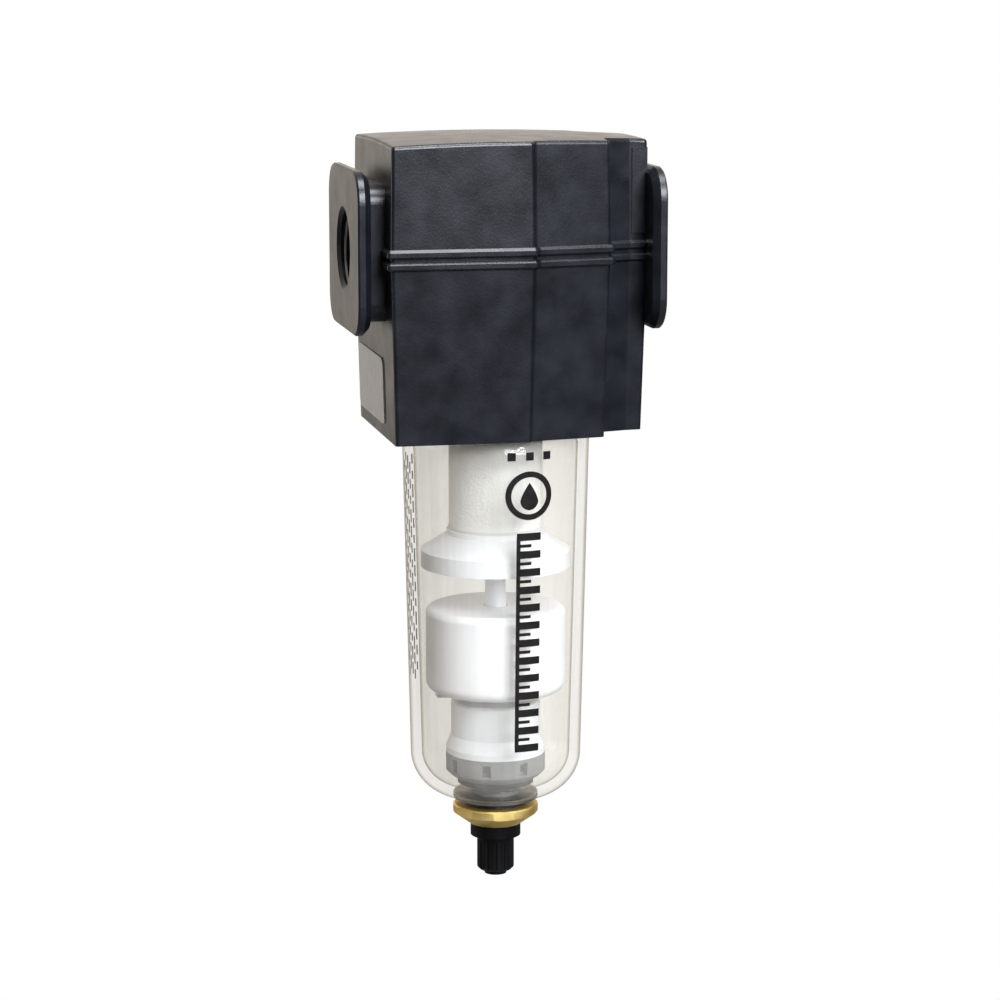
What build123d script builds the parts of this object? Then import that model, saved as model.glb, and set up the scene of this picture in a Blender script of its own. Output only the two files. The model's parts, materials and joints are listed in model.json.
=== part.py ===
from build123d import *
import math
import os

# Compressed air filter with a clear bowl and an automatic float drain.
# Millimetres. +Z is up, air flows along +X, the front is -Y. The bowl's axis is Z,
# and z = 0 is the lower end of the drain tip.

# Head casting
PORT_FACE_X = 34.0  # half of the distance between the two pipe flanges
PORT_Z = 143.7  # height of the port axis
HEAD_BOTTOM_Z = 103.1
HEAD_RIM_Z = 167.0
HEAD_CROWN = 1.3
HEAD_LEFT_X = 27.7
HEAD_FRONT_Y = 24.1
FACET_START_X = 3.4  # where the front breaks into its second, turned face
FACET_END_X = 21.2
FACET_STEP = 1.3
FACET_TURN_DEG = 9.0
SHOULDER_X = 27.4  # break between the two narrow faces beside the right flange
SHOULDER_INNER_Y = 13.2
SHOULDER_OUTER_Y = 11.2
HEAD_RIGHT_X = 31.9
UPPER_DRAFT_DEG = 0.8
LOWER_DRAFT_DEG = 1.5
EDGE_ROUND = 0.8
TOP_ROUND = 0.8
RIB_PROUD = 0.9
RIB_HEIGHT = 1.8
RIB_GAP = 0.8
RIB_TOP_BEVEL = 0.6
RIB_UNDER_BEVEL = 0.3
RIB_DROP = 0.6  # how far the middle of the rib pair lies below the port axis
PANEL_PROUD = 0.5
PANEL_Z0 = 146.9
PANEL_Z1 = 165.5
CORE_WALL = 3.4
CORE_DEPTH = 22.0
CORE_CLEAR_R = 24.0
CORE_LEAST_AREA = 20.0  # smaller pockets are left solid
PLATE_THICKNESS = 0.3
PLATE_FRONT_Y = -10.6
PLATE_BACK_Y = 21.0
PLATE_Z0 = 106.0
PLATE_Z1 = 120.5
PLATE_CORNER_R = 2.0

# Pipe flanges and ports (G3/8)
FLANGE_WIDTH = 40.0
FLANGE_HEIGHT = 35.5
FLANGE_CORNER_R = 7.0
FLANGE_RIM = 1.6
FLANGE_BEVEL = 1.4
NECK_INSET = 3.0
PORT_R = 8.33
PORT_DEPTH = 12.0
PORT_CHAMFER = 0.8
PASSAGE_R = 7.0

# Air passages and bowl socket inside the head
SOCKET_R = 19.8
SOCKET_ROOF_Z = 125.0
SEAT_R_IN = 9.0
SEAT_R_OUT = 12.5
SEAT_Z = 119.0
GALLERY_R = 17.5
GALLERY_Z = 132.0
INLET_CHAMBER_Z = 151.2
OUTLET_CHAMBER_Z = 152.0
INLET_REACH_X = 14.0
INLET_HALF_DEG = 60.0
STUD_R = 2.45
STUD_HOLE_R = 2.5
STUD_TOP_Z = 158.0
STUD_BOTTOM_Z = 74.7

# Bayonet between bowl and head
LUG_COUNT = 3
LUG_FIRST_DEG = 90.0
LUG_HALF_DEG = 11.5
LUG_PLAY_DEG = 0.8
BAYONET_TURN_DEG = 35.0
LUG_R = 20.6
LUG_Z0 = 108.5
LUG_Z1 = 111.7
LUG_GROOVE_R = 20.9
LUG_END_PLAY = 0.3

# Bowl
BOWL_TOP_R = 20.9
BOWL_FOOT_R = 19.24
BOWL_SHOULDER_Z = 102.7
BOWL_ROUND_Z = 29.2
BOWL_ROUND_R = 10.0
BOWL_FLOOR_R = 9.24
BOWL_BOTTOM_Z = 19.2
BOWL_WALL = 2.5
NECK_R = 19.5
NECK_R_IN = 17.2
NECK_TOP_Z = 121.0
RING_GROOVE_R = 18.3
RING_GROOVE_Z0 = 116.2
RING_GROOVE_Z1 = 118.2
RING_SECTION_R = 0.71
RING_CENTRE_R = 19.05
DRAIN_HOLE_R = 5.6

# Filter element stack
ELEMENT_R = 10.5
ELEMENT_R_IN = 7.2
ELEMENT_Z0 = 81.0
ELEMENT_Z1 = 115.9
GASKET = 0.8
BAFFLE_R = 16.8
BAFFLE_WALL = 1.1
BAFFLE_SKIRT_Z0 = 71.8
BAFFLE_SKIRT_Z1 = 75.6
BAFFLE_HUB_R = 11.0
BAFFLE_TOP_Z = 80.2
BAFFLE_TOP = 2.2
BAFFLE_BOSS_R = 4.5
BAFFLE_RIB_COUNT = 8
DEFLECTOR_R = 16.9
DEFLECTOR_Z0 = 112.6
DEFLECTOR_HEIGHT = 4.1
DEFLECTOR_PLATE = 1.5
DEFLECTOR_WALL = 0.7
VANE_RING_R_IN = 12.8
VANE_RING_R_OUT = 16.2
VANE_SLOT_PLAY = 0.15
VANE_COUNT = 12
VANE_TILT_DEG = 40.0

# Float drain
BASE_R = 11.25
BASE_Z0 = 23.7
BASE_Z1 = 28.9
BASE_FLOOR_Z = 25.5
BASE_CAVITY_R = 9.95
BASE_FOOT_R = 9.0
BASE_FOOT = 0.7
STEM_R = 5.4
STEM_END_Z = 12.7
STEM_BORE_R = 3.9
VALVE_HOLE_R = 2.6
VALVE_SEAT_Z = 24.5
SPIGOT_GROOVE_Z0 = 19.3
SPIGOT_GROOVE_Z1 = 20.7
NOTCH_COUNT = 8
NOTCH_WIDTH = 2.0
HOUSING_R = 10.1
HOUSING_TOP_Z = 40.8
SKIRT_R = 11.2
SKIRT_RIM_Z = 30.2
SKIRT_TOP_Z = 33.0
CYLINDER_R = 8.9
CYLINDER_TOP_Z = 38.8
POST_WIDTH = 2.2
POST_Y_IN = 1.7
POST_Y_OUT = 2.9
POST_TOP_Z = 43.6
PISTON_R = 8.8
PISTON_Z0 = 35.2
PISTON_Z1 = 38.2
PISTON_GROOVE_R = 7.6
PISTON_GROOVE_Z0 = 36.0
PISTON_GROOVE_Z1 = 37.4
PISTON_RING_SECTION_R = 0.6
PISTON_STEM_R = 1.6
PISTON_STEM_Z0 = 22.6
VALVE_DISC_R = 2.3
VALVE_DISC = 0.6
VALVE_SEAL_R = 3.2
SPRING_SEAT = 0.8
SPRING_R = 4.6
SPRING_WIRE_R = 0.4
SPRING_TURNS = 5
FLOAT_R = 15.75
FLOAT_Z0 = 43.2
FLOAT_Z1 = 62.5
FLOAT_BORE_R = 2.8
FLOAT_HUB_R = 4.2
FLOAT_WALL = 2.6
FLOAT_ROOF = 1.8
FLOAT_TOP_ROUND = 1.6
FLOAT_FOOT_ROUND = 2.4
GUIDE_R = 2.4
GUIDE_FOOT_R = 4.1
GUIDE_FOOT = 0.8
GUIDE_BORE_R = 1.2
GUIDE_TOP_Z = 70.0
CLIP_R = 3.6
CLIP_Z0 = 68.9
CLIP_Z1 = 69.5
LEVER_PIVOT_X = -5.9
LEVER_PIVOT_Z = 42.4
LEVER_TIP_X = -13.6
LEVER_ARM = 1.1
LEVER_WIDTH = 2.6
LEVER_EYE_R = 1.0
LEVER_PIN_R = 0.58
NOZZLE_X = -8.2
NOZZLE_R = 0.82
NOZZLE_BORE_R = 0.3
PILOT_SEAL_R = 0.88

# Bottom fittings
WASHER_R = 9.6
WASHER_Z0 = 18.2
SEAL_R = 6.95
NUT_R = 9.65
NUT_FLATS = 18.7
NUT_Z0 = 12.1
NUT_Z1 = 16.7
NUT_CONE_Z = 14.8
NUT_CONE_R = 5.95
KNOB_FLANGE_R = 5.7
KNOB_FLANGE_Z0 = 9.2
KNOB_FLANGE_Z1 = 11.9
KNOB_GRIP_R = 4.2
KNOB_GRIP_Z0 = 0.95
KNOB_STUB_R = 2.5
KNOB_BORE_R = 1.3
KNOB_BORE_TOP_Z = 11.0  # the drain bore opens out above this height
KNOB_WAY_R = 1.9
KNOB_SPIGOT_R = 3.75
KNOB_SPIGOT_TOP_Z = 20.3
KNOB_SNAP_Z = 19.3
KNOB_SNAP_PROUD = 0.4
KNOB_RING_GROOVE_R = 2.7
KNOB_RING_Z0 = 15.0
KNOB_RING_Z1 = 16.4
KNOB_RING_SECTION_R = 0.55
FLUTE_COUNT = 14
FLUTE_R = 0.55


def disc(radius, z0, z1):
    """Plain round bar about Z between two heights."""
    return Pos(0, 0, z0) * Cylinder(radius, z1 - z0, align=(Align.CENTER, Align.CENTER, Align.MIN))


def ring(inner, outer, z0, z1):
    """Flat ring about Z."""
    return disc(outer, z0, z1) - disc(inner, z0 - 1, z1 + 1)


def turned(points):
    """Solid of revolution about Z from a closed outline of (radius, z) points."""
    outline = Polyline(*[(r, 0, z) for r, z in points], close=True)
    return revolve(make_face(outline), axis=Axis.Z)


def torus(centre_r, section_r, z):
    return Pos(0, 0, z) * Torus(centre_r, section_r)


def sector(inner, outer, z0, z1, from_deg, to_deg):
    """Part of a ring between two angles, measured from +X about +Z."""
    start = Vector(1, 0, 0).rotate(Axis.Z, from_deg)
    middle = Vector(1, 0, 0).rotate(Axis.Z, (from_deg + to_deg) / 2)
    end = Vector(1, 0, 0).rotate(Axis.Z, to_deg)
    edges = [
        Line(start * inner, start * outer),
        ThreePointArc(start * outer, middle * outer, end * outer),
        Line(end * outer, end * inner),
        ThreePointArc(end * inner, middle * inner, start * inner),
    ]
    return Pos(0, 0, z0) * extrude(make_face(edges), amount=z1 - z0)


def block(x0, x1, y0, y1, z0, z1):
    corner = (Align.MIN, Align.MIN, Align.MIN)
    return Pos(x0, y0, z0) * Box(x1 - x0, y1 - y0, z1 - z0, align=corner)


def head_outline():
    """Plan of the head at the height of the ribs; the back mirrors the front."""
    facet_y = HEAD_FRONT_Y - FACET_STEP
    facet_end_y = facet_y - (FACET_END_X - FACET_START_X) * math.tan(math.radians(FACET_TURN_DEG))
    front = [
        (-HEAD_LEFT_X, -HEAD_FRONT_Y),
        (FACET_START_X, -HEAD_FRONT_Y),
        (FACET_START_X + FACET_STEP / 2, -facet_y),
        (FACET_END_X, -facet_end_y),
        (FACET_END_X + FACET_STEP / 2, -SHOULDER_INNER_Y),
        (SHOULDER_X, -SHOULDER_OUTER_Y - PANEL_PROUD),
        (HEAD_RIGHT_X, -SHOULDER_OUTER_Y),
    ]
    back = [(x, -y) for x, y in reversed(front)]
    return make_face(Polyline(*front, *back, close=True))


def head_plan(grow, z):
    """The head's plan moved out by a distance (in, if negative) at a height."""
    plan = head_outline()
    if grow:
        plan = offset(plan, grow, kind=Kind.INTERSECTION)
    return Pos(0, 0, z) * plan


def head_block(grow=0.0):
    """Two drafted halves that meet at the ribs, under a crowned top."""
    top_z = HEAD_RIM_Z + HEAD_CROWN + 1
    top_inset = (top_z - PORT_Z) * math.tan(math.radians(UPPER_DRAFT_DEG))
    bottom_inset = (PORT_Z - HEAD_BOTTOM_Z) * math.tan(math.radians(LOWER_DRAFT_DEG))
    middle = head_plan(grow, PORT_Z)
    upper = loft([middle, head_plan(grow - top_inset, top_z)], ruled=True)
    lower = loft([head_plan(grow - bottom_inset, HEAD_BOTTOM_Z), middle], ruled=True)
    reach = math.hypot(HEAD_LEFT_X, HEAD_FRONT_Y)
    dome_r = (reach**2 + HEAD_CROWN**2) / (2 * HEAD_CROWN)
    dome = Pos(0, 0, HEAD_RIM_Z + HEAD_CROWN - dome_r) * Rot(90, 0, 0) * Sphere(dome_r)
    halves = []
    for half in (upper & dome, lower):
        upright = [e for e in half.edges() if abs(e.tangent_at(0.5).Z) > 0.9]
        sharp = [e for e in upright if abs(e.center().X - SHOULDER_X) > 1]
        halves.append(fillet(sharp, EDGE_ROUND))
    top_edges = halves[0].faces().sort_by(Axis.Z)[-1].edges()
    halves[0] = fillet(top_edges, TOP_ROUND)
    return halves[0] + halves[1]


def head_ribs():
    """Two ribs round the middle of the head, with a groove between them."""
    plan = fillet(offset(head_outline(), RIB_PROUD, kind=Kind.INTERSECTION).vertices(), EDGE_ROUND)
    middle_z = PORT_Z - RIB_DROP
    ribs = []
    for z0 in (middle_z + RIB_GAP / 2, middle_z - RIB_GAP / 2 - RIB_HEIGHT):
        rib = Pos(0, 0, z0) * extrude(plan, amount=RIB_HEIGHT)
        rib = chamfer(rib.edges().group_by(Axis.Z)[-1], RIB_TOP_BEVEL)
        ribs.append(chamfer(rib.edges().group_by(Axis.Z)[0], RIB_UNDER_BEVEL))
    return ribs


def flange(side):
    """Rounded rectangular pipe flange with a bevelled back, on side -1 or +1."""
    def slab(inset, x0, x1, taper=0.0):
        shape = RectangleRounded(
            FLANGE_WIDTH - 2 * inset, FLANGE_HEIGHT - 2 * inset, FLANGE_CORNER_R - inset
        )
        plane = Plane(origin=(side * x0, 0, PORT_Z), x_dir=(0, 1, 0), z_dir=(side, 0, 0))
        return extrude(plane * shape, amount=x1 - x0, taper=taper)

    rim_x = PORT_FACE_X - FLANGE_RIM
    bevel_x = rim_x - FLANGE_BEVEL
    rim = slab(0, rim_x, PORT_FACE_X)
    rim = chamfer(rim.faces().sort_by(Axis.X)[-1 if side > 0 else 0].outer_wire().edges(), 0.4)
    bevel = slab(FLANGE_BEVEL, bevel_x, rim_x, taper=-45)
    if side > 0:
        return rim + bevel
    return rim + bevel + slab(NECK_INSET, HEAD_LEFT_X - 2, bevel_x + 0.5)


def port_cut(side):
    """Threaded port, drawn as a bore of the thread's nominal radius, with a lead-in chamfer."""
    plane = Plane(origin=(side * PORT_FACE_X, 0, PORT_Z), x_dir=(0, 1, 0), z_dir=(-side, 0, 0))
    bore = extrude(plane * Circle(PORT_R), amount=PORT_DEPTH)
    lead = extrude(plane * Circle(PORT_R + PORT_CHAMFER), amount=PORT_CHAMFER, taper=45)
    reach = PORT_FACE_X - (INLET_REACH_X if side < 0 else SEAT_R_IN - 2)
    passage = extrude(plane * Circle(PASSAGE_R), amount=reach)
    return bore + lead + passage


def bayonet_cut():
    """Entry slots and part-turn grooves for the bowl's lugs."""
    cuts = []
    groove_z0 = LUG_Z0 - LUG_END_PLAY
    half = LUG_HALF_DEG + LUG_PLAY_DEG
    for index in range(LUG_COUNT):
        locked = LUG_FIRST_DEG + index * 360 / LUG_COUNT
        entry = locked + BAYONET_TURN_DEG
        inner = SOCKET_R - 1
        groove_z1 = LUG_Z1 + LUG_END_PLAY
        cuts.append(sector(inner, LUG_GROOVE_R, groove_z0, groove_z1, locked - half, entry + half))
        slot_z0 = HEAD_BOTTOM_Z - 1
        cuts.append(sector(inner, LUG_GROOVE_R, slot_z0, groove_z0 + 1, entry - half, entry + half))
    return cuts


def head_casting():
    body = head_block()
    for rib in head_ribs():
        body += rib
    for side in (-1, 1):
        body += flange(side)
    panel_y = SHOULDER_OUTER_Y + PANEL_PROUD
    for y0, y1 in ((-panel_y, 2 - SHOULDER_OUTER_Y), (SHOULDER_OUTER_Y - 2, panel_y)):
        body += block(SHOULDER_X + 0.6, HEAD_RIGHT_X - 0.5, y0, y1, PANEL_Z0, PANEL_Z1)
    cored = offset(head_outline(), -CORE_WALL, kind=Kind.INTERSECTION) - Circle(CORE_CLEAR_R)
    for pocket in cored.faces():
        if pocket.area > CORE_LEAST_AREA:
            body -= Pos(0, 0, HEAD_BOTTOM_Z) * extrude(pocket, amount=CORE_DEPTH, dir=(0, 0, 1))
    seat = ring(SEAT_R_IN, SEAT_R_OUT, SEAT_Z, SOCKET_ROOF_Z)
    body -= disc(SOCKET_R, HEAD_BOTTOM_Z - 1, SOCKET_ROOF_Z) - seat
    body -= ring(SEAT_R_OUT, GALLERY_R, SOCKET_ROOF_Z - 1, GALLERY_Z)
    from_deg, to_deg = 180 - INLET_HALF_DEG, 180 + INLET_HALF_DEG
    body -= sector(SEAT_R_OUT, GALLERY_R, GALLERY_Z - 1, INLET_CHAMBER_Z, from_deg, to_deg)
    body -= disc(SEAT_R_IN, SOCKET_ROOF_Z - 1, OUTLET_CHAMBER_Z)
    body -= disc(STUD_HOLE_R, OUTLET_CHAMBER_Z - 1, STUD_TOP_Z + 1)
    for side in (-1, 1):
        body -= port_cut(side)
    for cut in bayonet_cut():
        body -= cut
    return body


def rating_plate(casting):
    """Blank foil plate with round corners on the left side."""
    window = block(
        -HEAD_LEFT_X - 2, 2 - HEAD_LEFT_X, PLATE_FRONT_Y, PLATE_BACK_Y, PLATE_Z0, PLATE_Z1
    )
    window = fillet(window.edges().filter_by(Axis.X), PLATE_CORNER_R)
    return (head_block(PLATE_THICKNESS) & window) - casting


def bowl():
    """Clear bowl: lugged neck, tapered wall, rounded bottom with the drain hole."""
    inner_round_r = BOWL_ROUND_R - BOWL_WALL
    top_inner_r = BOWL_TOP_R - BOWL_WALL
    foot_inner_r = BOWL_FOOT_R - BOWL_WALL
    floor_z = BOWL_BOTTOM_Z + BOWL_WALL
    diagonal = math.sqrt(0.5)
    outer = Polyline(
        (NECK_R_IN, 0, NECK_TOP_Z),
        (NECK_R - 0.5, 0, NECK_TOP_Z),
        (NECK_R, 0, NECK_TOP_Z - 0.5),
        (NECK_R, 0, RING_GROOVE_Z1),
        (RING_GROOVE_R, 0, RING_GROOVE_Z1),
        (RING_GROOVE_R, 0, RING_GROOVE_Z0),
        (NECK_R, 0, RING_GROOVE_Z0),
        (NECK_R, 0, BOWL_SHOULDER_Z),
        (BOWL_TOP_R - 0.4, 0, BOWL_SHOULDER_Z),
        (BOWL_TOP_R, 0, BOWL_SHOULDER_Z - 0.4),
        (BOWL_FOOT_R, 0, BOWL_ROUND_Z),
    )
    outer_round = ThreePointArc(
        (BOWL_FOOT_R, 0, BOWL_ROUND_Z),
        (BOWL_FLOOR_R + BOWL_ROUND_R * diagonal, 0, BOWL_ROUND_Z - BOWL_ROUND_R * diagonal),
        (BOWL_FLOOR_R, 0, BOWL_BOTTOM_Z),
    )
    bottom = Polyline(
        (BOWL_FLOOR_R, 0, BOWL_BOTTOM_Z),
        (DRAIN_HOLE_R, 0, BOWL_BOTTOM_Z),
        (DRAIN_HOLE_R, 0, floor_z),
        (BOWL_FLOOR_R, 0, floor_z),
    )
    inner_round = ThreePointArc(
        (BOWL_FLOOR_R, 0, floor_z),
        (BOWL_FLOOR_R + inner_round_r * diagonal, 0, BOWL_ROUND_Z - inner_round_r * diagonal),
        (foot_inner_r, 0, BOWL_ROUND_Z),
    )
    inner = Polyline(
        (foot_inner_r, 0, BOWL_ROUND_Z),
        (top_inner_r, 0, BOWL_SHOULDER_Z - 3),
        (NECK_R_IN, 0, BOWL_SHOULDER_Z + 1),
        (NECK_R_IN, 0, NECK_TOP_Z),
    )
    body = revolve(make_face([outer, outer_round, bottom, inner_round, inner]), axis=Axis.Z)
    for index in range(LUG_COUNT):
        centre = LUG_FIRST_DEG + index * 360 / LUG_COUNT
        body += sector(NECK_R - 0.5, LUG_R, LUG_Z0, LUG_Z1, centre - LUG_HALF_DEG, centre + LUG_HALF_DEG)
    return body


def swirl_deflector():
    """Plate clamped over the element, with slanted vanes between two rings."""
    plate_z = DEFLECTOR_Z0 + DEFLECTOR_HEIGHT
    plate = ring(ELEMENT_R_IN, DEFLECTOR_R, plate_z, plate_z + DEFLECTOR_PLATE)
    step = 360 / VANE_COUNT
    slot_in = VANE_RING_R_IN + VANE_SLOT_PLAY
    slot_out = VANE_RING_R_OUT - VANE_SLOT_PLAY
    for index in range(VANE_COUNT):
        start = index * step
        plate -= sector(slot_in, slot_out, plate_z - 1, plate_z + 2, start, start + step * 0.6)
    body = plate + ring(VANE_RING_R_OUT, DEFLECTOR_R, DEFLECTOR_Z0, plate_z)
    body += ring(VANE_RING_R_IN - DEFLECTOR_WALL, VANE_RING_R_IN, DEFLECTOR_Z0, plate_z)
    hollow = ring(VANE_RING_R_IN - 0.3, VANE_RING_R_OUT + 0.3, DEFLECTOR_Z0, plate_z)
    middle_r = (VANE_RING_R_IN + VANE_RING_R_OUT) / 2
    vane = Pos(middle_r, 0, DEFLECTOR_Z0 + 2) * Rot(VANE_TILT_DEG, 0, 0) * Box(5, 0.8, 8)
    for index in range(VANE_COUNT):
        body += (Rot(0, 0, (index + 0.3) * step) * vane) & hollow
    return body


def baffle():
    """Flared plate that closes the element and shields the collected water."""
    hub_z = BAFFLE_TOP_Z - BAFFLE_TOP
    inner_r = BAFFLE_R - BAFFLE_WALL
    body = turned(
        [
            (0, hub_z),
            (0, BAFFLE_TOP_Z),
            (BAFFLE_HUB_R, BAFFLE_TOP_Z),
            (BAFFLE_HUB_R, BAFFLE_TOP_Z - 1),
            (BAFFLE_R, BAFFLE_SKIRT_Z1),
            (BAFFLE_R, BAFFLE_SKIRT_Z0),
            (inner_r, BAFFLE_SKIRT_Z0),
            (inner_r, BAFFLE_SKIRT_Z1 - 0.6),
            (BAFFLE_HUB_R, hub_z),
        ]
    )
    body += disc(BAFFLE_BOSS_R, STUD_BOTTOM_Z - 1.2, hub_z + 0.5)
    rib_z0 = BAFFLE_SKIRT_Z1 - 1.6
    under_cone = turned(
        [
            (0, rib_z0),
            (inner_r + 0.3, rib_z0),
            (inner_r + 0.3, BAFFLE_SKIRT_Z1 - 0.5),
            (BAFFLE_HUB_R, hub_z + 0.3),
            (0, hub_z + 0.3),
        ]
    )
    for index in range(BAFFLE_RIB_COUNT):
        rib = block(BAFFLE_BOSS_R - 0.5, BAFFLE_R, -0.5, 0.5, rib_z0, BAFFLE_TOP_Z)
        body += Rot(0, 0, index * 360 / BAFFLE_RIB_COUNT) * rib & under_cone
    return body - disc(STUD_HOLE_R, STUD_BOTTOM_Z, BAFFLE_TOP_Z + 1)


def drain_base():
    """Notched base ring with the threaded stem that passes through the bowl."""
    foot_z = BASE_Z0 - BASE_FOOT
    body = turned(
        [
            (0, STEM_END_Z),
            (0, BASE_Z1),
            (BASE_R, BASE_Z1),
            (BASE_R, BASE_Z0 + 1),
            (BASE_R - 1, BASE_Z0),
            (BASE_FOOT_R, BASE_Z0),
            (BASE_FOOT_R, foot_z),
            (STEM_R, foot_z),
            (STEM_R, STEM_END_Z + 0.4),
            (STEM_R - 0.4, STEM_END_Z),
        ]
    )
    body -= disc(BASE_CAVITY_R, BASE_FLOOR_Z, BASE_Z1 + 1)
    body -= disc(VALVE_HOLE_R, VALVE_SEAT_Z - 1, BASE_FLOOR_Z + 1)
    body -= disc(STEM_BORE_R, STEM_END_Z - 1, VALVE_SEAT_Z)
    body -= ring(STEM_BORE_R - 0.5, STEM_BORE_R + 0.5, SPIGOT_GROOVE_Z0, SPIGOT_GROOVE_Z1)
    half = NOTCH_WIDTH / 2
    for index in range(NOTCH_COUNT):
        notch = block(BASE_CAVITY_R - 0.5, BASE_R + 1, -half, half, BASE_FLOOR_Z - 0.4, BASE_Z1 - 0.8)
        body -= Rot(0, 0, (index + 0.5) * 360 / NOTCH_COUNT) * notch
    return body


def drain_housing():
    """Cylinder of the drain piston: skirt at its foot, the lever's posts on its lid."""
    spigot_z = BASE_Z1 - 1.4
    body = turned(
        [
            (0, spigot_z),
            (0, HOUSING_TOP_Z),
            (HOUSING_R - 0.5, HOUSING_TOP_Z),
            (HOUSING_R, HOUSING_TOP_Z - 0.5),
            (HOUSING_R, SKIRT_TOP_Z),
            (SKIRT_R, SKIRT_RIM_Z),
            (SKIRT_R, BASE_Z1),
            (BASE_CAVITY_R - 0.05, BASE_Z1),
            (BASE_CAVITY_R - 0.05, spigot_z),
        ]
    )
    body -= disc(CYLINDER_R, spigot_z - 1, CYLINDER_TOP_Z)
    post_x0, post_x1 = LEVER_PIVOT_X - POST_WIDTH / 2, LEVER_PIVOT_X + POST_WIDTH / 2
    for y0, y1 in ((-POST_Y_OUT, -POST_Y_IN), (POST_Y_IN, POST_Y_OUT)):
        body += block(post_x0, post_x1, y0, y1, HOUSING_TOP_Z - 0.2, POST_TOP_Z)
    pin_hole = Cylinder(LEVER_PIN_R + 0.02, 8)
    body -= Pos(LEVER_PIVOT_X, 0, LEVER_PIVOT_Z) * Rot(90, 0, 0) * pin_hole
    body -= Pos(NOZZLE_X, 0, 0) * disc(NOZZLE_R + 0.03, CYLINDER_TOP_Z - 1, HOUSING_TOP_Z + 1)
    return body - disc(GUIDE_BORE_R, CYLINDER_TOP_Z - 1, HOUSING_TOP_Z + 1)


def float_guide():
    """Vent tube that the float slides on, with a groove for its clip."""
    body = disc(GUIDE_FOOT_R, HOUSING_TOP_Z, HOUSING_TOP_Z + GUIDE_FOOT)
    body += disc(GUIDE_R, HOUSING_TOP_Z, GUIDE_TOP_Z)
    body -= ring(GUIDE_R - 0.5, GUIDE_R + 1, CLIP_Z0, CLIP_Z1)
    return body - disc(GUIDE_BORE_R, HOUSING_TOP_Z - 1, GUIDE_TOP_Z + 1)


def float_bell():
    """Float: a bell open at the bottom, with a hub that slides on the guide."""
    outer = disc(FLOAT_R, FLOAT_Z0, FLOAT_Z1)
    outer = fillet(outer.edges().group_by(Axis.Z)[-1], FLOAT_TOP_ROUND)
    outer = fillet(outer.edges().group_by(Axis.Z)[0], FLOAT_FOOT_ROUND)
    hollow = ring(FLOAT_HUB_R, FLOAT_R - FLOAT_WALL, FLOAT_Z0 - 1, FLOAT_Z1 - FLOAT_ROOF)
    return outer - hollow - disc(FLOAT_BORE_R, FLOAT_Z0 - 1, FLOAT_Z1 + 1)


def pilot_lever():
    """Lever that the float holds down on the pilot nozzle."""
    half = LEVER_WIDTH / 2
    arm_z1 = FLOAT_Z0 - 0.2
    arm = block(LEVER_TIP_X, LEVER_PIVOT_X - 0.4, -half, half, arm_z1 - LEVER_ARM, arm_z1)
    eye = Cylinder(LEVER_EYE_R, LEVER_WIDTH) - Cylinder(LEVER_PIN_R + 0.07, LEVER_WIDTH)
    hinge = Pos(LEVER_PIVOT_X, 0, LEVER_PIVOT_Z) * Rot(90, 0, 0)
    arm -= hinge * Cylinder(LEVER_EYE_R - 0.1, LEVER_WIDTH + 1)
    seat = Pos(NOZZLE_X, 0, 0) * disc(PILOT_SEAL_R + 0.02, arm_z1 - 2, arm_z1 - 0.6)
    return arm + hinge * eye - seat


def drain_piston():
    """Piston with the stem that pulls the valve seal up against its seat."""
    body = disc(PISTON_R, PISTON_Z0, PISTON_Z1)
    body -= ring(PISTON_GROOVE_R, PISTON_R + 1, PISTON_GROOVE_Z0, PISTON_GROOVE_Z1)
    body -= ring(SPRING_R - 1.4, SPRING_R + 1.8, PISTON_Z0 - 1, PISTON_Z0 + SPRING_SEAT)
    body += disc(PISTON_STEM_R, PISTON_STEM_Z0, PISTON_Z0 + 0.5)
    return body + disc(VALVE_DISC_R, PISTON_STEM_Z0, PISTON_STEM_Z0 + VALVE_DISC)


def piston_spring():
    """Compression spring under the piston."""
    wire = SPRING_WIRE_R
    z0 = BASE_FLOOR_Z + wire + 0.05
    height = PISTON_Z0 + SPRING_SEAT - 0.05 - wire - z0
    path = Pos(0, 0, z0) * Helix(pitch=height / SPRING_TURNS, height=height, radius=SPRING_R)
    start = Plane(origin=path @ 0, z_dir=path % 0)
    return sweep(start * Circle(wire), path=path, is_frenet=True)


def drain_nut():
    """Brass nut: six flats above a conical underside."""
    body = turned(
        [
            (STEM_R + 0.03, NUT_Z0),
            (STEM_R + 0.03, NUT_Z1),
            (NUT_R - 0.3, NUT_Z1),
            (NUT_R, NUT_Z1 - 0.3),
            (NUT_R, NUT_CONE_Z),
            (NUT_CONE_R, NUT_Z0),
        ]
    )
    hexagon = extrude(RegularPolygon(NUT_FLATS / 2, 6, major_radius=False), amount=NUT_Z1 + 1)
    return body & hexagon


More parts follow.
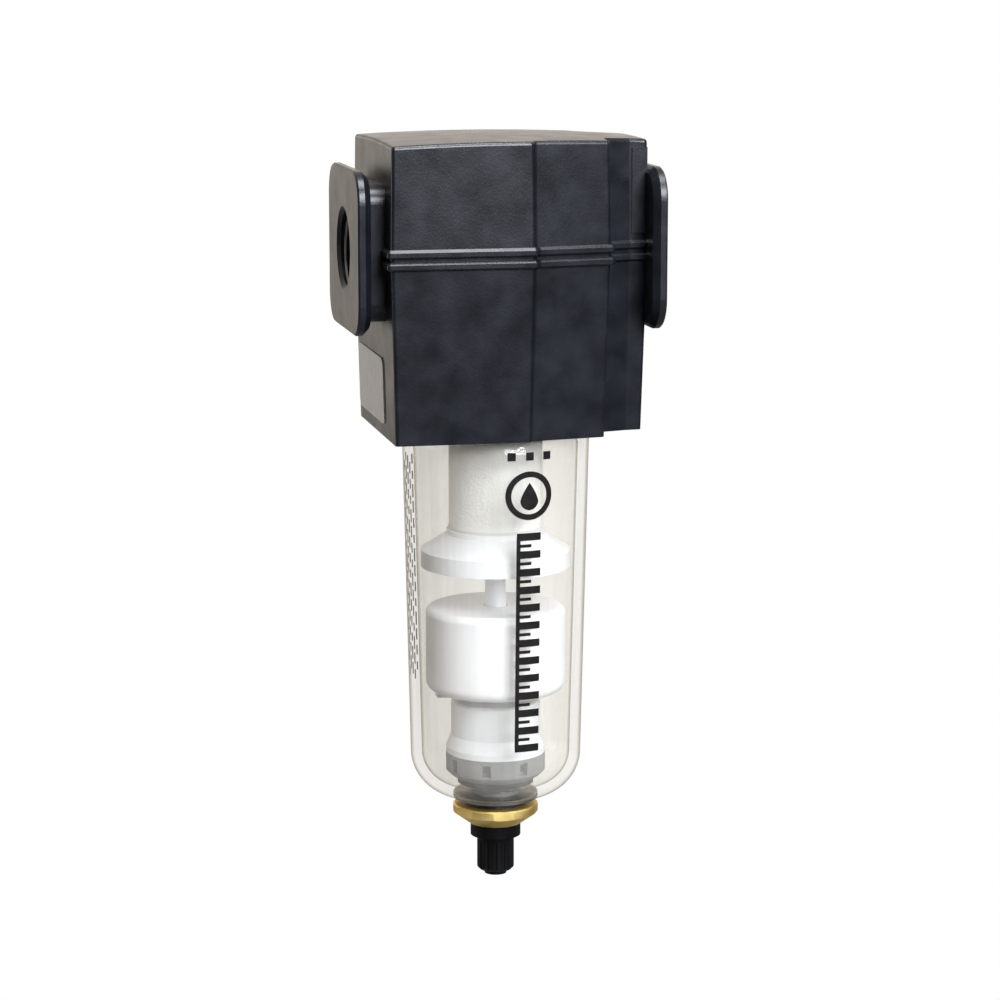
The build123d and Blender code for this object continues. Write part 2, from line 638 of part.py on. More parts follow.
def drain_knob():
    """Quarter-turn drain tip: flange, fluted grip and a spigot inside the stem."""
    snap_r = KNOB_SPIGOT_R + KNOB_SNAP_PROUD
    body = turned(
        [
            (KNOB_BORE_R, 0),
            (KNOB_STUB_R, 0),
            (KNOB_STUB_R, KNOB_GRIP_Z0),
            (KNOB_GRIP_R - 0.6, KNOB_GRIP_Z0),
            (KNOB_GRIP_R, KNOB_GRIP_Z0 + 0.6),
            (KNOB_GRIP_R, KNOB_FLANGE_Z0),
            (KNOB_FLANGE_R, KNOB_FLANGE_Z0),
            (KNOB_FLANGE_R, KNOB_FLANGE_Z1 - 0.3),
            (KNOB_FLANGE_R - 0.3, KNOB_FLANGE_Z1),
            (KNOB_SPIGOT_R, KNOB_FLANGE_Z1),
            (KNOB_SPIGOT_R, KNOB_RING_Z0),
            (KNOB_RING_GROOVE_R, KNOB_RING_Z0),
            (KNOB_RING_GROOVE_R, KNOB_RING_Z1),
            (KNOB_SPIGOT_R, KNOB_RING_Z1),
            (KNOB_SPIGOT_R, KNOB_SNAP_Z),
            (snap_r, KNOB_SNAP_Z + 0.1),
            (snap_r, KNOB_SNAP_Z + 0.7),
            (KNOB_SPIGOT_R - 0.4, KNOB_SPIGOT_TOP_Z),
            (KNOB_WAY_R, KNOB_SPIGOT_TOP_Z),
            (KNOB_WAY_R, KNOB_BORE_TOP_Z),
            (KNOB_BORE_R, KNOB_BORE_TOP_Z),
        ]
    )
    flute = Pos(KNOB_GRIP_R + 0.25, 0, 0) * disc(FLUTE_R, KNOB_GRIP_Z0 - 0.5, KNOB_FLANGE_Z0 - 1.2)
    for index in range(FLUTE_COUNT):
        body -= Rot(0, 0, index * 360 / FLUTE_COUNT) * flute
    return body


def lever_pin():
    return Pos(LEVER_PIVOT_X, 0, LEVER_PIVOT_Z) * Rot(90, 0, 0) * Cylinder(LEVER_PIN_R, 6.0)


def pilot_nozzle():
    body = disc(NOZZLE_R, CYLINDER_TOP_Z + 0.1, HOUSING_TOP_Z + 0.35)
    return Pos(NOZZLE_X, 0, 0) * (body - disc(NOZZLE_BORE_R, CYLINDER_TOP_Z, HOUSING_TOP_Z + 1))


def pilot_seal():
    return Pos(NOZZLE_X, 0, 0) * disc(PILOT_SEAL_R, HOUSING_TOP_Z + 0.45, FLOAT_Z0 - 0.8)


def float_clip():
    """Split ring in the guide's groove."""
    body = ring(GUIDE_R - 0.48, CLIP_R, CLIP_Z0 + 0.05, CLIP_Z1 - 0.05)
    return body - block(0, 5, -1.2, 1.2, CLIP_Z0 - 1, CLIP_Z1 + 1)


def vent_screen():
    """Perforated cap pressed into the top of the guide."""
    body = disc(GUIDE_R, GUIDE_TOP_Z, GUIDE_TOP_Z + 1.0)
    body += disc(GUIDE_BORE_R - 0.05, GUIDE_TOP_Z - 2, GUIDE_TOP_Z)
    hole = disc(0.2, GUIDE_TOP_Z - 3, GUIDE_TOP_Z + 2)
    body -= hole
    for index in range(4):
        body -= Rot(0, 0, index * 90 + 45) * Pos(0.7, 0, 0) * hole
    return body


casting = head_casting()
nodes = {
    "head_casting": casting,
    "rating_plate": rating_plate(casting),
    "swirl_deflector": swirl_deflector(),
    "deflector_gasket": ring(SEAT_R_IN + 0.2, SEAT_R_OUT - 0.2, SEAT_Z - GASKET, SEAT_Z),
    "element_upper_gasket": ring(ELEMENT_R_IN, ELEMENT_R - 0.1, ELEMENT_Z1, ELEMENT_Z1 + GASKET),
    "filter_element": ring(ELEMENT_R_IN, ELEMENT_R, ELEMENT_Z0, ELEMENT_Z1),
    "element_lower_gasket": ring(ELEMENT_R_IN, ELEMENT_R + 0.1, BAFFLE_TOP_Z, ELEMENT_Z0),
    "element_stud": disc(STUD_R, STUD_BOTTOM_Z, STUD_TOP_Z),
    "baffle": baffle(),
    "bowl": bowl(),
    "bowl_o_ring": torus(RING_CENTRE_R, RING_SECTION_R, (RING_GROOVE_Z0 + RING_GROOVE_Z1) / 2),
    "drain_gasket": ring(
        DRAIN_HOLE_R, BASE_FOOT_R - 0.4, BOWL_BOTTOM_Z + BOWL_WALL, BASE_Z0 - BASE_FOOT
    ),
    "drain_base": drain_base(),
    "drain_housing": drain_housing(),
    "float_guide": float_guide(),
    "float_clip": float_clip(),
    "vent_screen": vent_screen(),
    "pilot_nozzle": pilot_nozzle(),
    "lever_pin": lever_pin(),
    "bowl_washer": ring(DRAIN_HOLE_R, WASHER_R, WASHER_Z0, BOWL_BOTTOM_Z),
    "outer_seal": ring(DRAIN_HOLE_R - 0.1, SEAL_R, NUT_Z1, WASHER_Z0),
    "drain_nut": drain_nut(),
    "float": float_bell(),
    "pilot_lever": pilot_lever(),
    "pilot_seal": pilot_seal(),
    "drain_piston": drain_piston(),
    "piston_o_ring": torus(
        PISTON_GROOVE_R + PISTON_RING_SECTION_R + 0.04,
        PISTON_RING_SECTION_R,
        (PISTON_GROOVE_Z0 + PISTON_GROOVE_Z1) / 2,
    ),
    "drain_valve_seal": ring(
        PISTON_STEM_R + 0.02, VALVE_SEAL_R, PISTON_STEM_Z0 + VALVE_DISC, VALVE_SEAT_Z - 0.05
    ),
    "piston_spring": piston_spring(),
    "drain_knob": drain_knob(),
    "knob_o_ring": torus(
        KNOB_RING_GROOVE_R + KNOB_RING_SECTION_R + 0.05,
        KNOB_RING_SECTION_R,
        (KNOB_RING_Z0 + KNOB_RING_Z1) / 2,
    ),
}

os.makedirs("parts", exist_ok=True)
for name, shape in nodes.items():
    export_step(shape, os.path.join("parts", name + ".step"))
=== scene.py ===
import bpy
import json
import math
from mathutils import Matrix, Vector


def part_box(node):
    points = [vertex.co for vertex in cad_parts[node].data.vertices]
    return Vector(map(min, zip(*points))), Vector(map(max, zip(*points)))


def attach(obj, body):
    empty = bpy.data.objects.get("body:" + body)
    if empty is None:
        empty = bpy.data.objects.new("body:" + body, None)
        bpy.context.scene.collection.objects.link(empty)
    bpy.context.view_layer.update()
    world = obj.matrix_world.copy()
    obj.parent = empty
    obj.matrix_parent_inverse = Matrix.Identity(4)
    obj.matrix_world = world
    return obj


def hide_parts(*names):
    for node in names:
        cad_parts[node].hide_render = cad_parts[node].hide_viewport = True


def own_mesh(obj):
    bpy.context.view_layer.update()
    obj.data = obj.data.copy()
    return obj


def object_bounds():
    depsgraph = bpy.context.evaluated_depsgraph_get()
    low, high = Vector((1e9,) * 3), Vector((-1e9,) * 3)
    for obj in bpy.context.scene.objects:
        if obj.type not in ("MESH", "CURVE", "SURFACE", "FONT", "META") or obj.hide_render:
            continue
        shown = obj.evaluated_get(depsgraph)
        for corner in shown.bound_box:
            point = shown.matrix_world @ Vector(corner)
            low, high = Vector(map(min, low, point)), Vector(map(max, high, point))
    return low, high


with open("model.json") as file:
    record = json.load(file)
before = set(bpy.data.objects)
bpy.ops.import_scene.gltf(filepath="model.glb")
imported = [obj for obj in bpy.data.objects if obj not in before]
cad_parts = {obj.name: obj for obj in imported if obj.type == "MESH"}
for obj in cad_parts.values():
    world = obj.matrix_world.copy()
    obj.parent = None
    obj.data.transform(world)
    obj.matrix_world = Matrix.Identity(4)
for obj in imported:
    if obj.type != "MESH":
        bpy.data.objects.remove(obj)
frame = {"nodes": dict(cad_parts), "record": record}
cad_low, cad_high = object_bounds()
nodes = frame["nodes"]
mounts = {mount["name"]: mount for mount in frame["record"]["mounts"]}

# ---------------------------------------------------------------------------
# Head: a zinc pressure die casting under black satin enamel. The enamel lies
# in a fine orange-peel skin with faint clouds, and carries the bowl's bayonet
# socket below and a threaded pipe port on each side.
# ---------------------------------------------------------------------------


def clouded(name, dark, light, rough, cloud_scale=90, grain_scale=2500, grain_depth=0.00001, metal=0.0):
    """Surface with clouds in its colour and gloss, and a fine grain; returns it and its shader."""
    surface = bpy.data.materials.new(name)
    surface.use_nodes = True
    tree = surface.node_tree
    shader = tree.nodes["Principled BSDF"]
    shader.inputs["Metallic"].default_value = metal
    place = tree.nodes.new("ShaderNodeTexCoord")
    clouds = tree.nodes.new("ShaderNodeTexNoise")
    clouds.inputs["Scale"].default_value = cloud_scale
    clouds.inputs["Detail"].default_value = 5
    tint = tree.nodes.new("ShaderNodeValToRGB")
    tint.color_ramp.elements[0].position = 0.32
    tint.color_ramp.elements[0].color = (*dark, 1)
    tint.color_ramp.elements[1].position = 0.68
    tint.color_ramp.elements[1].color = (*light, 1)
    gloss = tree.nodes.new("ShaderNodeMapRange")
    gloss.inputs["From Min"].default_value = 0.3
    gloss.inputs["From Max"].default_value = 0.7
    gloss.inputs["To Min"].default_value = rough[0]
    gloss.inputs["To Max"].default_value = rough[1]
    grain = tree.nodes.new("ShaderNodeTexNoise")
    grain.inputs["Scale"].default_value = grain_scale
    grain.inputs["Detail"].default_value = 2
    bump = tree.nodes.new("ShaderNodeBump")
    bump.inputs["Distance"].default_value = grain_depth
    tree.links.new(place.outputs["Object"], clouds.inputs["Vector"])
    tree.links.new(place.outputs["Object"], grain.inputs["Vector"])
    tree.links.new(clouds.outputs["Fac"], tint.inputs["Fac"])
    tree.links.new(clouds.outputs["Fac"], gloss.inputs["Value"])
    tree.links.new(tint.outputs["Color"], shader.inputs["Base Color"])
    tree.links.new(gloss.outputs["Result"], shader.inputs["Roughness"])
    tree.links.new(grain.outputs["Fac"], bump.inputs["Height"])
    tree.links.new(bump.outputs["Normal"], shader.inputs["Normal"])
    return surface, shader


def dress(surface, *names):
    """Puts a surface on CAD nodes."""
    for name in names:
        nodes[name].data.materials.clear()
        nodes[name].data.materials.append(surface)


enamel, enamel_shader = clouded(
    "black_enamel", (0.003, 0.004, 0.006), (0.007, 0.008, 0.012), (0.28, 0.36), 160, 1700, 0.00002
)
enamel_shader.inputs["IOR"].default_value = 1.42
dress(enamel, "head_casting")

# ---------------------------------------------------------------------------
# Port threads: the two female pipe threads, 19 turns to the inch, cut after
# painting, so that their crests are bare zinc.
# ---------------------------------------------------------------------------

zinc, _ = clouded("bare_zinc", (0.20, 0.20, 0.20), (0.34, 0.33, 0.32), (0.34, 0.5), 300, 3000, 0.00001, 1.0)
MILLIMETRE = 0.001
THREAD_PITCH = 25.4 * MILLIMETRE / 19
THREAD_DEPTH = 0.00058
THREAD_STEPS = 56


def port_thread(mount, name):
    """One V-shaped ridge wound inside a port, on the port's own axis."""
    radius = mount["dims"]["r_mm"] * MILLIMETRE
    length = mount["dims"]["length_mm"] * MILLIMETRE
    turns = int(length / THREAD_PITCH) - 1
    bpy.ops.object.select_all(action="DESELECT")
    bpy.ops.mesh.primitive_circle_add(vertices=3, radius=THREAD_DEPTH)
    ridge = bpy.context.object
    bpy.ops.object.mode_set(mode="EDIT")
    bpy.ops.mesh.select_all(action="SELECT")
    bpy.ops.transform.rotate(value=math.pi / 2, orient_axis="Z", center_override=(0, 0, 0))
    bpy.ops.transform.rotate(value=math.pi / 2, orient_axis="X", center_override=(0, 0, 0))
    bpy.ops.transform.translate(value=(radius - THREAD_DEPTH / 2, 0, 0))
    bpy.ops.object.mode_set(mode="OBJECT")
    wind = ridge.modifiers.new("wind", "SCREW")
    wind.axis = "Z"
    wind.steps = THREAD_STEPS
    wind.render_steps = THREAD_STEPS
    wind.iterations = turns
    wind.screw_offset = THREAD_PITCH
    wind.use_normal_calculate = True
    bpy.ops.object.modifier_apply(modifier=wind.name)
    bpy.ops.object.mode_set(mode="EDIT")
    bpy.ops.mesh.select_all(action="SELECT")
    bpy.ops.mesh.fill_holes(sides=0)
    bpy.ops.object.mode_set(mode="OBJECT")
    axis = Vector(mount["axis"])
    ridge.rotation_euler = axis.to_track_quat("Z", "Y").to_euler()
    ridge.location = Vector(mount["pos_m"]) - axis * (turns * THREAD_PITCH / 2)
    bpy.ops.object.transform_apply(location=True, rotation=True, scale=True)
    ridge.name = name
    ridge.data.materials.append(zinc)
    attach(ridge, "head")


port_thread(mounts["inlet_port"], "inlet_thread")
port_thread(mounts["outlet_port"], "outlet_thread")

# ---------------------------------------------------------------------------
# Rating plate: thin anodised foil glued to the left side of the head. It is
# left blank; only the brushed grain of the foil shows.
# ---------------------------------------------------------------------------

foil, _ = clouded(
    "plate_foil", (0.52, 0.52, 0.53), (0.64, 0.64, 0.65), (0.42, 0.58), 500, 2200, 0.00003, 0.25
)
dress(foil, "rating_plate")

# ---------------------------------------------------------------------------
# Swirl deflector and gaskets: a black acetal plate with slanted vanes, held
# between rubber seals over the top of the element.
# ---------------------------------------------------------------------------

black_moulding, black_shader = clouded(
    "black_moulding", (0.0012, 0.0012, 0.0014), (0.003, 0.003, 0.0034), (0.34, 0.5)
)
black_shader.inputs["IOR"].default_value = 1.28
seal_rubber, _ = clouded("seal_rubber", (0.010, 0.010, 0.011), (0.024, 0.024, 0.025), (0.55, 0.72))
dress(black_moulding, "swirl_deflector")
dress(seal_rubber, "deflector_gasket", "element_upper_gasket")

# ---------------------------------------------------------------------------
# Filter element: a tube of sintered white plastic beads, clamped with its
# gasket and the flared baffle by the plated stud.
# ---------------------------------------------------------------------------

sinter, _ = clouded("element_sinter", (0.80, 0.79, 0.78), (0.88, 0.87, 0.86), (0.8, 0.95), 60)
BEADS_PER_METRE = 1500
BEAD_DEPTH = 0.00012
beads = sinter.node_tree.nodes.new("ShaderNodeTexVoronoi")
beads.inputs["Scale"].default_value = BEADS_PER_METRE
bead_bump = sinter.node_tree.nodes["Bump"]
bead_bump.inputs["Distance"].default_value = BEAD_DEPTH
bead_place = sinter.node_tree.nodes["Texture Coordinate"].outputs["Object"]
sinter.node_tree.links.new(bead_place, beads.inputs["Vector"])
sinter.node_tree.links.new(beads.outputs["Distance"], bead_bump.inputs["Height"])
dress(sinter, "filter_element")

white_moulding, _ = clouded("white_moulding", (0.84, 0.86, 0.92), (0.89, 0.91, 0.96), (0.38, 0.52))
dress(white_moulding, "baffle")

grey_gasket, _ = clouded("element_gasket", (0.66, 0.66, 0.66), (0.74, 0.74, 0.74), (0.55, 0.7))
dress(grey_gasket, "element_lower_gasket")

steel, _ = clouded(
    "plated_steel", (0.33, 0.33, 0.32), (0.47, 0.47, 0.46), (0.28, 0.42), 300, 4000, 0.000006, 1.0
)
dress(steel, "element_stud")

# ---------------------------------------------------------------------------
# Bowl: clear moulded polycarbonate with a warm cast, thicker-looking and
# browner where it is seen edge on, with faint upright flow lines. Its three
# lugs lock in the head, and a rubber ring seals its neck.
# ---------------------------------------------------------------------------


def clear_polycarbonate():
    surface = bpy.data.materials.new("clear_polycarbonate")
    surface.use_nodes = True
    tree = surface.node_tree
    body = tree.nodes["Principled BSDF"]
    body.inputs["Base Color"].default_value = (0.86, 0.83, 0.76, 1)
    body.inputs["Roughness"].default_value = 0.25
    place = tree.nodes.new("ShaderNodeTexCoord")
    stretch = tree.nodes.new("ShaderNodeMapping")
    stretch.inputs["Scale"].default_value = (1, 1, 0.03)
    flow = tree.nodes.new("ShaderNodeTexNoise")
    flow.inputs["Scale"].default_value = 420
    flow.inputs["Detail"].default_value = 3
    tree.links.new(place.outputs["Object"], stretch.inputs["Vector"])
    tree.links.new(stretch.outputs["Vector"], flow.inputs["Vector"])
    haze = tree.nodes.new("ShaderNodeMapRange")
    haze.inputs["From Min"].default_value = 0.3
    haze.inputs["From Max"].default_value = 0.7
    haze.inputs["To Min"].default_value = 0.08
    haze.inputs["To Max"].default_value = 0.14
    tree.links.new(flow.outputs["Fac"], haze.inputs["Value"])
    edge = tree.nodes.new("ShaderNodeLayerWeight")
    edge.inputs["Blend"].default_value = 0.5
    cast = tree.nodes.new("ShaderNodeValToRGB")
    cast.color_ramp.elements[0].position = 0.72
    cast.color_ramp.elements[0].color = (0.970, 0.965, 0.948, 1)
    cast.color_ramp.elements[1].position = 1.0
    cast.color_ramp.elements[1].color = (0.66, 0.60, 0.52, 1)
    tree.links.new(edge.outputs["Facing"], cast.inputs["Fac"])
    through = tree.nodes.new("ShaderNodeBsdfTransparent")
    tree.links.new(cast.outputs["Color"], through.inputs["Color"])
    milky = tree.nodes.new("ShaderNodeMixShader")
    tree.links.new(haze.outputs["Result"], milky.inputs["Fac"])
    tree.links.new(through.outputs["BSDF"], milky.inputs[1])
    tree.links.new(body.outputs["BSDF"], milky.inputs[2])
    sheen = tree.nodes.new("ShaderNodeBsdfGlossy")
    sheen.inputs["Roughness"].default_value = 0.04
    mirror = tree.nodes.new("ShaderNodeMapRange")
    mirror.inputs["From Min"].default_value = 0.7
    mirror.inputs["From Max"].default_value = 1.0
    mirror.inputs["To Min"].default_value = 0.03
    mirror.inputs["To Max"].default_value = 0.25
    tree.links.new(edge.outputs["Facing"], mirror.inputs["Value"])
    glossy = tree.nodes.new("ShaderNodeMixShader")
    tree.links.new(mirror.outputs["Result"], glossy.inputs["Fac"])
    tree.links.new(milky.outputs["Shader"], glossy.inputs[1])
    tree.links.new(sheen.outputs["BSDF"], glossy.inputs[2])
    tree.links.new(glossy.outputs["Shader"], tree.nodes["Material Output"].inputs["Surface"])
    return surface


dress(clear_polycarbonate(), "bowl")
dress(seal_rubber, "bowl_o_ring")

# ---------------------------------------------------------------------------
# Drain unit inside the bowl: grey glass-filled base with its rubber seal and
# white piston housing, and the white vent tube with its clip and screen.
# ---------------------------------------------------------------------------

grey_moulding, _ = clouded("grey_moulding", (0.15, 0.15, 0.155), (0.22, 0.22, 0.22), (0.42, 0.58))
brass, _ = clouded(
    "brass_fitting", (0.78, 0.57, 0.18), (0.92, 0.71, 0.28), (0.42, 0.58), 250, 3500, 0.000008, 1.0
)
dress(grey_moulding, "drain_base")
dress(white_moulding, "drain_housing", "float_guide", "pilot_lever")
dress(seal_rubber, "drain_gasket", "pilot_seal")
dress(steel, "float_clip", "lever_pin")
dress(brass, "vent_screen", "pilot_nozzle")

# ---------------------------------------------------------------------------
# Float: a closed-cell bell with a smooth white skin that slides on the vent
# tube and tips the pilot lever.
# ---------------------------------------------------------------------------

float_skin, _ = clouded("float_foam", (0.89, 0.90, 0.96), (0.93, 0.94, 0.99), (0.36, 0.5), 140, 900, 0.00002)
dress(float_skin, "float")

# ---------------------------------------------------------------------------
# Drain piston and spring: the grey piston pulls its valve disc against the
# seat and is pushed back by a steel spring.
# ---------------------------------------------------------------------------

dress(grey_moulding, "drain_piston")
dress(seal_rubber, "piston_o_ring", "drain_valve_seal")

SPRING_TURNS = 5
SPRING_WIRE_R = 0.0004
SPRING_STEPS = 48
spring_low, spring_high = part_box("piston_spring")
spring_length = spring_high[2] - spring_low[2]
spring_r = spring_high[0] - SPRING_WIRE_R

bpy.ops.object.select_all(action="DESELECT")
bpy.ops.mesh.primitive_circle_add(vertices=14, radius=SPRING_WIRE_R)
spring = bpy.context.object
bpy.ops.object.mode_set(mode="EDIT")
bpy.ops.mesh.select_all(action="SELECT")
bpy.ops.transform.rotate(value=math.pi / 2, orient_axis="X", center_override=(0, 0, 0))
bpy.ops.transform.translate(value=(spring_r, 0, spring_low[2] + SPRING_WIRE_R))
bpy.ops.object.mode_set(mode="OBJECT")
coil = spring.modifiers.new("coil", "SCREW")
coil.axis = "Z"
coil.steps = SPRING_STEPS
coil.render_steps = SPRING_STEPS
coil.iterations = SPRING_TURNS
coil.screw_offset = (spring_length - 2 * SPRING_WIRE_R) / SPRING_TURNS
coil.use_normal_calculate = True
bpy.ops.object.modifier_apply(modifier=coil.name)
bpy.ops.object.mode_set(mode="EDIT")
bpy.ops.mesh.select_all(action="SELECT")
bpy.ops.mesh.fill_holes(sides=0)
bpy.ops.object.mode_set(mode="OBJECT")
bpy.ops.object.shade_smooth_by_angle(angle=math.radians(40))
spring.name = "coiled_spring"
spring.data.materials.append(steel)
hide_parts("piston_spring")
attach(spring, "bowl")
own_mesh(spring)

# ---------------------------------------------------------------------------
# Fittings under the bowl: plated washer, rubber seal and turned brass nut on
# the threaded stem, then the black quarter-turn drain tip.
# ---------------------------------------------------------------------------

dress(steel, "bowl_washer")
dress(seal_rubber, "outer_seal", "knob_o_ring")
dress(brass, "drain_nut")
dress(black_moulding, "drain_knob")

# ---------------------------------------------------------------------------
# Marks on the bowl: black ink, screen printed on the outside. A water-drop
# symbol in a ring, a scale of level ticks below it, three index blocks at the
# rim and a side column of plain dashes.
# ---------------------------------------------------------------------------

black_ink, ink_shader = clouded("black_ink", (0.004, 0.003, 0.003), (0.010, 0.008, 0.007), (0.55, 0.7), 900)
ink_shader.inputs["IOR"].default_value = 1.25
faint_ink, _ = clouded("faint_ink", (0.23, 0.215, 0.20), (0.33, 0.31, 0.29), (0.5, 0.65), 700)
INK = 0.00005
FLAT_Y_GAP = 0.002  # flat marks start this far in front of the bowl
bowl_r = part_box("bowl")[1][0]
flat_y = -bowl_r - FLAT_Y_GAP


def patch(width, height, across, up, columns=8):
    """Upright flat grid in front of the bowl, to be wrapped round it."""
    bpy.ops.object.select_all(action="DESELECT")
    bpy.ops.mesh.primitive_grid_add(
        x_subdivisions=columns, y_subdivisions=2, size=1, location=(across, flat_y, up),
        rotation=(math.pi / 2, 0, 0),
    )
    piece = bpy.context.object
    piece.scale = (width, height, 1)
    bpy.ops.object.transform_apply(location=True, rotation=True, scale=True)
    return piece


def ring_mark(radius, width, up):
    """Flat upright ring in front of the bowl."""
    bpy.ops.object.select_all(action="DESELECT")
    bpy.ops.mesh.primitive_circle_add(
        vertices=72, radius=radius, fill_type="NOTHING", location=(0, flat_y, up),
        rotation=(math.pi / 2, 0, 0),
    )
    piece = bpy.context.object
    bpy.ops.object.transform_apply(location=True, rotation=True, scale=True)
    bpy.ops.object.mode_set(mode="EDIT")
    bpy.ops.mesh.select_all(action="SELECT")
    bpy.ops.mesh.extrude_region_move()
    shrink = (radius - width) / radius
    bpy.ops.transform.resize(value=(shrink, 1, shrink), center_override=(0, flat_y, up))
    bpy.ops.object.mode_set(mode="OBJECT")
    return piece


def drop_mark(radius, up):
    """Flat upright water drop: a round foot that narrows to a point."""
    bpy.ops.object.select_all(action="DESELECT")
    bpy.ops.mesh.primitive_circle_add(
        vertices=48, radius=radius, fill_type="TRIFAN", location=(0, flat_y, up),
        rotation=(math.pi / 2, 0, 0),
    )
    piece = bpy.context.object
    bpy.ops.object.transform_apply(location=True, rotation=True, scale=True)
    for corner in piece.data.vertices:
        rise = min(1.0, max(0.0, (corner.co.z - up) / radius))
        corner.co.x *= (1 - rise) ** 0.5
        corner.co.z += rise * radius * 0.9
    return piece


def print_on_bowl(pieces, name, ink, turn_deg):
    """Joins flat marks, wraps them on the bowl's outside and turns them to their place."""
    bpy.ops.object.select_all(action="DESELECT")
    for piece in pieces:
        piece.select_set(True)
    bpy.context.view_layer.objects.active = pieces[0]
    if len(pieces) > 1:
        bpy.ops.object.join()
    mark = bpy.context.object
    wrap = mark.modifiers.new("wrap", "SHRINKWRAP")
    wrap.target = nodes["bowl"]
    wrap.wrap_method = "PROJECT"
    wrap.use_project_y = True
    wrap.use_positive_direction = True
    wrap.offset = INK
    bpy.ops.object.modifier_apply(modifier=wrap.name)
    skin = mark.modifiers.new("skin", "SOLIDIFY")
    skin.thickness = INK * 0.8
    skin.offset = 0
    bpy.ops.object.modifier_apply(modifier=skin.name)
    mark.rotation_euler = (0, 0, math.radians(turn_deg))
    bpy.ops.object.transform_apply(location=True, rotation=True, scale=True)
    mark.name = name
    mark.data.materials.clear()
    mark.data.materials.append(ink)
    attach(mark, "bowl")


FRONT_TURN_DEG = 9
SIDE_TURN_DEG = -81
SCALE_LOW = 0.034
SCALE_STEP = 0.00398
SCALE_TICKS = 13
TICK_LENGTH = 0.0056
TICK_HEIGHT = 0.0017
SPINE_WIDTH = 0.0009
HALF_TICK_LENGTH = 0.0034
HALF_TICK_HEIGHT = 0.0007
scale_length = SCALE_STEP * (SCALE_TICKS - 1)
spine_across = -0.0024
half_tick_across = -0.0011
scale_marks = [patch(SPINE_WIDTH, scale_length, spine_across, SCALE_LOW + scale_length / 2)]
for index in range(SCALE_TICKS):
    tick_z = SCALE_LOW + index * SCALE_STEP
    scale_marks.append(patch(TICK_LENGTH, TICK_HEIGHT, 0, tick_z))
    if index < SCALE_TICKS - 1:
        half_z = tick_z + SCALE_STEP / 2
        scale_marks.append(patch(HALF_TICK_LENGTH, HALF_TICK_HEIGHT, half_tick_across, half_z))
print_on_bowl(scale_marks, "level_scale", black_ink, FRONT_TURN_DEG)

SYMBOL_Z = 0.0909
SYMBOL_R = 0.0054
SYMBOL_RING_WIDTH = 0.0013
DROP_R = 0.0021
DROP_SET_DOWN = 0.0011
symbol = [ring_mark(SYMBOL_R, SYMBOL_RING_WIDTH, SYMBOL_Z), drop_mark(DROP_R, SYMBOL_Z - DROP_SET_DOWN)]
print_on_bowl(symbol, "drop_symbol", black_ink, FRONT_TURN_DEG)

RIM_BLOCK = 0.0018
RIM_SPACING = 0.0041
RIM_BLOCK_Z = 0.0996
rim_marks = [patch(RIM_BLOCK, RIM_BLOCK, side * RIM_SPACING, RIM_BLOCK_Z, 4) for side in (-1, 0, 1)]
print_on_bowl(rim_marks, "rim_index", black_ink, FRONT_TURN_DEG)

DASH_COLUMNS = 5
DASHES_PER_COLUMN = 14
DASH_WIDTH = 0.0006
DASH_LEAST = 0.0018
DASH_STEP_UP = 0.0036
COLUMN_SPACING = 0.00125
DASH_LOW = 0.0485
dashes = []
for column in range(DASH_COLUMNS):
    across = (column - DASH_COLUMNS // 2) * COLUMN_SPACING
    bottom = DASH_LOW + 0.0011 * (column * 5 % 3)
    for step in range(DASHES_PER_COLUMN):
        length = DASH_LEAST + 0.0004 * ((column * 3 + step * 5) % 4)
        dashes.append(patch(DASH_WIDTH, length, across, bottom + step * DASH_STEP_UP, 2))
print_on_bowl(dashes, "side_dashes", faint_ink, SIDE_TURN_DEG)

# ---------------------------------------------------------------------------
# Studio: pale paper well below the filter, a warm room that is brighter
# behind than in front, and five soft lamps.
# ---------------------------------------------------------------------------

bpy.ops.object.select_all(action="DESELECT")
FLOOR_DROP = 0.45
FLOOR_SIZE = 30
bpy.ops.mesh.primitive_plane_add(size=FLOOR_SIZE, location=(0, 0, cad_low[2] - FLOOR_DROP))
floor = bpy.context.object
floor.name = "studio_floor"
paper, _ = clouded("studio_paper", (0.17, 0.17, 0.17), (0.21, 0.21, 0.21), (0.85, 0.95), 4)
paper_tree = paper.node_tree
paper_glow = paper_tree.nodes.new("ShaderNodeEmission")
paper_seen = paper_tree.nodes.new("ShaderNodeLightPath")
paper_mix = paper_tree.nodes.new("ShaderNodeMixShader")
paper_tree.links.new(paper_seen.outputs["Is Camera Ray"], paper_mix.inputs["Fac"])
paper_tree.links.new(paper_tree.nodes["Principled BSDF"].outputs["BSDF"], paper_mix.inputs[1])
paper_tree.links.new(paper_glow.outputs["Emission"], paper_mix.inputs[2])
paper_tree.links.new(paper_mix.outputs["Shader"], paper_tree.nodes["Material Output"].inputs["Surface"])
floor.data.materials.append(paper)


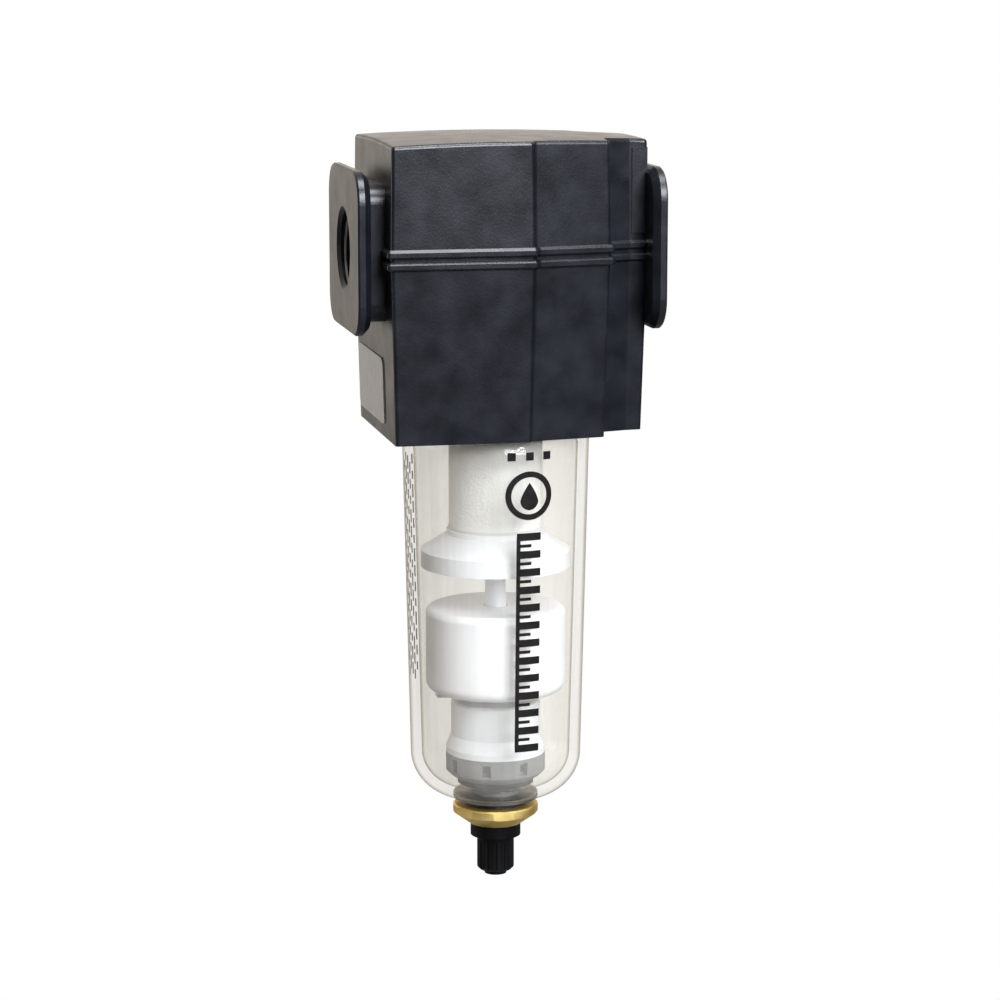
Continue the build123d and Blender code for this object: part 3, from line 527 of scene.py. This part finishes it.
def studio_world():
    """White to the camera; for light and reflections, warm and brighter behind than in front."""
    world = bpy.data.worlds.new("studio_world")
    world.use_nodes = True
    tree = world.node_tree
    place = tree.nodes.new("ShaderNodeTexCoord")
    axes = tree.nodes.new("ShaderNodeSeparateXYZ")
    depth = tree.nodes.new("ShaderNodeMapRange")
    depth.inputs["From Min"].default_value = -0.7
    depth.inputs["From Max"].default_value = 0.6
    depth.inputs["To Min"].default_value = 0.08
    depth.inputs["To Max"].default_value = 0.68
    tree.links.new(place.outputs["Generated"], axes.inputs["Vector"])
    tree.links.new(axes.outputs["Y"], depth.inputs["Value"])
    seen = tree.nodes.new("ShaderNodeLightPath")
    strength = tree.nodes.new("ShaderNodeMix")
    tree.links.new(seen.outputs["Is Camera Ray"], strength.inputs["Factor"])
    tree.links.new(depth.outputs["Result"], strength.inputs["A"])
    strength.inputs["B"].default_value = 1.0
    tree.links.new(strength.outputs["Result"], tree.nodes["Background"].inputs["Strength"])
    warmth = tree.nodes.new("ShaderNodeMix")
    warmth.data_type = "RGBA"
    warmth.inputs["A"].default_value = (1.0, 0.93, 0.86, 1)
    warmth.inputs["B"].default_value = (1, 1, 1, 1)
    tree.links.new(seen.outputs["Is Camera Ray"], warmth.inputs["Factor"])
    tree.links.new(warmth.outputs["Result"], tree.nodes["Background"].inputs["Color"])
    return world


bpy.context.scene.world = studio_world()
middle = Vector((0, 0, (cad_low[2] + cad_high[2]) / 2))


def soft_lamp(name, place, size, power, colour):
    bpy.ops.object.light_add(type="AREA", location=place)
    lamp = bpy.context.object
    lamp.name = name
    lamp.data.size = size
    lamp.data.energy = power
    lamp.data.color = colour
    lamp.rotation_euler = (middle - Vector(place)).to_track_quat("-Z", "Y").to_euler()


soft_lamp("overhead_lamp", (0.1, -0.25, 1.1), 0.5, 14.0, (0.93, 0.96, 1.0))
soft_lamp("back_lamp", (0.35, 1.3, 0.5), 0.8, 1.1, (1.0, 0.86, 0.74))
soft_lamp("low_left_lamp", (-0.4, 1.2, 0.12), 0.5, 0.6, (1.0, 0.90, 0.80))
soft_lamp("left_lamp", (-1.1, 0.5, 0.2), 0.5, 2.4, (1.0, 0.93, 0.85))
soft_lamp("front_lamp", (0.35, -1.2, 0.75), 0.7, 41.0, (0.90, 0.94, 1.0))

CAMERA_PLACE = (-0.1398, -0.6579, 0.2076)
CAMERA_AIM = (0, 0, 0.0865)
bpy.ops.object.camera_add(location=CAMERA_PLACE)
camera = bpy.context.object
camera.name = "studio_camera"
camera.rotation_euler = (Vector(CAMERA_AIM) - camera.location).to_track_quat("-Z", "Y").to_euler()
camera.data.sensor_width = 36
camera.data.lens = 109.8
camera.data.shift_x = 0.0045
camera.data.clip_start = 0.01
bpy.context.scene.camera = camera
bpy.context.scene.view_settings.view_transform = "Standard"
